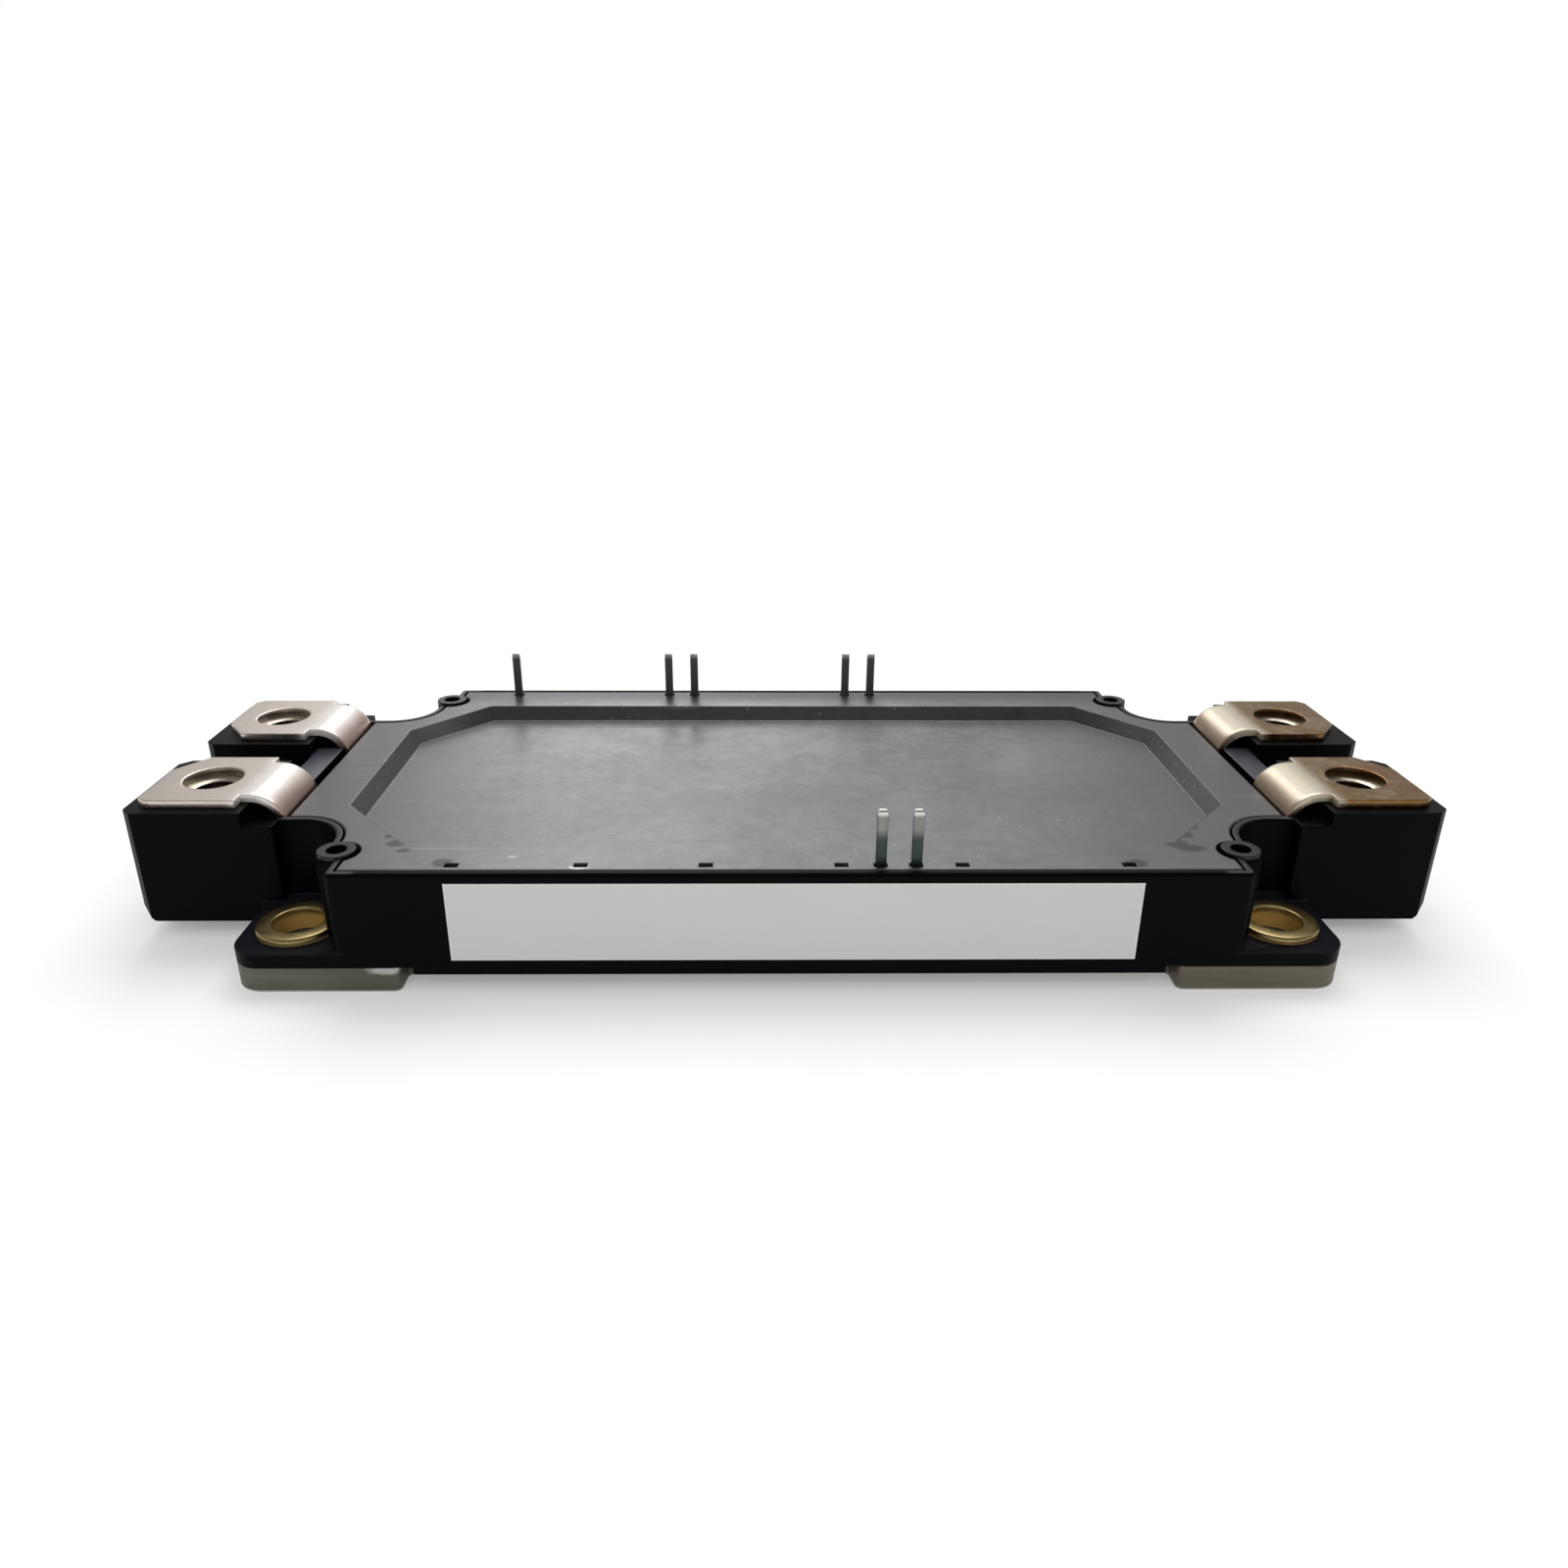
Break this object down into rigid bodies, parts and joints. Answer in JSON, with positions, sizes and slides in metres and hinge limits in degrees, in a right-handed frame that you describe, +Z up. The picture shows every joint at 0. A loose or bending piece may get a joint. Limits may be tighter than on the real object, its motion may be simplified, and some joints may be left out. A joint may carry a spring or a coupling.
{
  "type": "igbt power module",
  "caption": "Flat dual power transistor module: metal base plate, black moulded case with dished lid, brass-lined corner mounting ears, folded screw terminals and upright signal pins.",
  "frame": {"origin": "middle of the base plate's underside", "axes": "+X along the long side, the labelled wall faces -Y, +Z up from the cooled face"},
  "size_m": [0.152, 0.062, 0.0208],
  "materials": {
    "nickel_plate": "satin",
    "case_plastic": "satin",
    "lid_plastic": "satin",
    "label_foil": "matte",
    "nut_steel": "satin",
    "bushing_brass": "satin",
    "terminal_plating": "satin",
    "pin_plating": "satin",
    "tile_ceramic": "matte",
    "track_copper": "satin",
    "chip_silicon": "satin",
    "sensor_ceramic": "satin",
    "wire_aluminium": "satin",
    "soft_gel": "satin"
  },
  "bodies": {
    "root": {"base_plate": "nickel_plate", "case_frame": "case_plastic", "lid": "lid_plastic", "label": "label_foil", "terminal_nuts": "nut_steel", "mounting_bushings": "bushing_brass", "power_terminal_front_left": "terminal_plating", "power_terminal_front_right": "terminal_plating", "power_terminal_back_left": "terminal_plating", "power_terminal_back_right": "terminal_plating", "signal_pin_back_1": "pin_plating", "signal_pin_back_2": "pin_plating", "signal_pin_back_3": "pin_plating", "signal_pin_back_4": "pin_plating", "signal_pin_back_5": "pin_plating", "signal_pin_front_1": "pin_plating", "signal_pin_front_2": "pin_plating", "ceramic_tile_1": "tile_ceramic", "copper_tracks_1": "track_copper", "ceramic_tile_2": "tile_ceramic", "copper_tracks_2": "track_copper", "ceramic_tile_3": "tile_ceramic", "copper_tracks_3": "track_copper", "switch_chips": "chip_silicon", "diode_chips": "chip_silicon", "temperature_sensor": "sensor_ceramic", "chip_bond_wires": "wire_aluminium", "terminal_bond_wires": "wire_aluminium", "signal_bond_wires": "wire_aluminium", "gel_filling": "soft_gel"}
  },
  "joints": []
}
